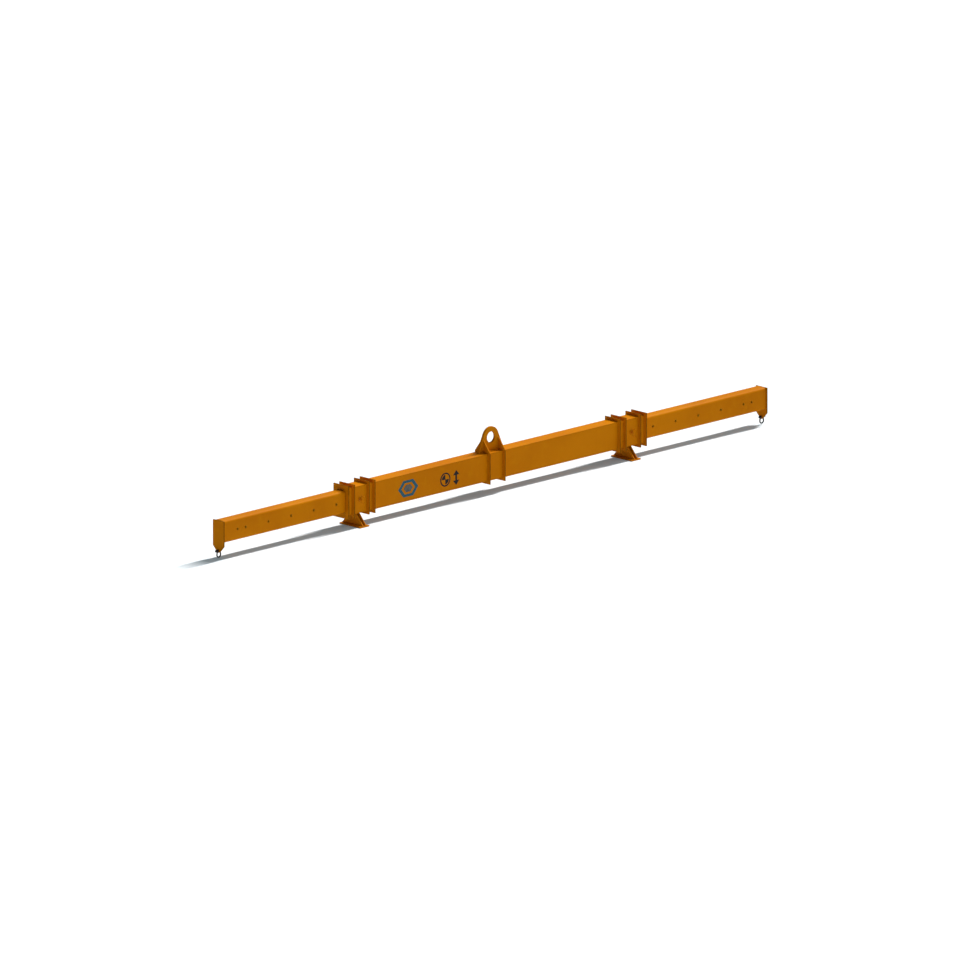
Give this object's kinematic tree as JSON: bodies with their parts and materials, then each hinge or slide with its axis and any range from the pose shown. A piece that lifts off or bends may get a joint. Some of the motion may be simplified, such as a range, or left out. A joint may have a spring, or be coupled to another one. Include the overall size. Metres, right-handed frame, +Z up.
{
  "type": "telescopic spreader beam",
  "caption": "Telescopic lifting spreader beam: orange box beam with a top lifting lug, feet, sliding arms with locking pins and a bow shackle under each end.",
  "frame": {"origin": "on the floor under the middle of the beam, between the two feet", "axes": "+X along the beam to the right-hand arm, +Y to the back, so the lock pins face -Y, +Z up"},
  "size_m": [6.0778, 0.232, 0.525],
  "materials": {
    "orange_paint": "satin orange-yellow enamel over steel",
    "dark_forged_steel": "dark oiled forging skin",
    "zinc_steel": "dull zinc plate",
    "wear_pad": "machined natural nylon, greased"
  },
  "bodies": {
    "main": {"main_top_plate": "orange_paint", "main_bottom_plate": "orange_paint", "main_front_web": "orange_paint", "main_back_web": "orange_paint", "centre_diaphragm": "orange_paint", "lifting_lug": "orange_paint", "lug_gussets": "orange_paint", "left_centre_frame": "orange_paint", "left_tail_collar": "orange_paint", "left_inner_collar": "orange_paint", "left_outer_collar": "orange_paint", "left_mouth_plate": "orange_paint", "left_mouth_pads": "wear_pad", "left_pin_boss": "orange_paint", "left_foot_webs": "orange_paint", "left_foot_rib": "orange_paint", "left_foot_base": "orange_paint", "right_centre_frame": "orange_paint", "right_tail_collar": "orange_paint", "right_inner_collar": "orange_paint", "right_outer_collar": "orange_paint", "right_mouth_plate": "orange_paint", "right_mouth_pads": "wear_pad", "right_pin_boss": "orange_paint", "right_foot_webs": "orange_paint", "right_foot_rib": "orange_paint", "right_foot_base": "orange_paint"},
    "left_arm": {"left_arm_tube": "orange_paint", "left_end_plate": "orange_paint", "left_tail_shoes": "wear_pad"},
    "left_shackle": {"left_shackle_bow": "dark_forged_steel", "left_shackle_pin": "dark_forged_steel", "left_shackle_nut": "dark_forged_steel", "left_shackle_cotter": "zinc_steel"},
    "left_plunger": {"left_lock_pin": "orange_paint"},
    "left_ring": {"left_pull_ring": "orange_paint"},
    "right_arm": {"right_arm_tube": "orange_paint", "right_end_plate": "orange_paint", "right_tail_shoes": "wear_pad"},
    "right_shackle": {"right_shackle_bow": "dark_forged_steel", "right_shackle_pin": "dark_forged_steel", "right_shackle_nut": "dark_forged_steel", "right_shackle_cotter": "zinc_steel"},
    "right_plunger": {"right_lock_pin": "orange_paint"},
    "right_ring": {"right_pull_ring": "orange_paint"}
  },
  "joints": [
    {"name": "left_arm_slide", "type": "slide", "parent": "main", "child": "left_arm", "axis": [1, 0, 0], "range_m": [0, 1.34]},
    {"name": "left_shackle_swing", "type": "hinge", "parent": "left_arm", "child": "left_shackle", "pos_m": [-3, 0, 0.063], "axis": [1, 0, 0], "range_deg": [-90, 90]},
    {"name": "left_lock_pin_slide", "type": "slide", "parent": "main", "child": "left_plunger", "axis": [0, 1, 0], "range_m": [0, 0.011]},
    {"name": "left_ring_swing", "type": "hinge", "parent": "left_plunger", "child": "left_ring", "pos_m": [-1.5, -0.0795, 0.218], "axis": [0, 0, 1], "range_deg": [-85, 85]},
    {"name": "right_arm_slide", "type": "slide", "parent": "main", "child": "right_arm", "axis": [-1, 0, 0], "range_m": [0, 1.34]},
    {"name": "right_shackle_swing", "type": "hinge", "parent": "right_arm", "child": "right_shackle", "pos_m": [3, 0, 0.063], "axis": [1, 0, 0], "range_deg": [-90, 90]},
    {"name": "right_lock_pin_slide", "type": "slide", "parent": "main", "child": "right_plunger", "axis": [0, 1, 0], "range_m": [0, 0.011]},
    {"name": "right_ring_swing", "type": "hinge", "parent": "right_plunger", "child": "right_ring", "pos_m": [1.5, -0.0795, 0.218], "axis": [0, 0, 1], "range_deg": [-85, 85]}
  ]
}
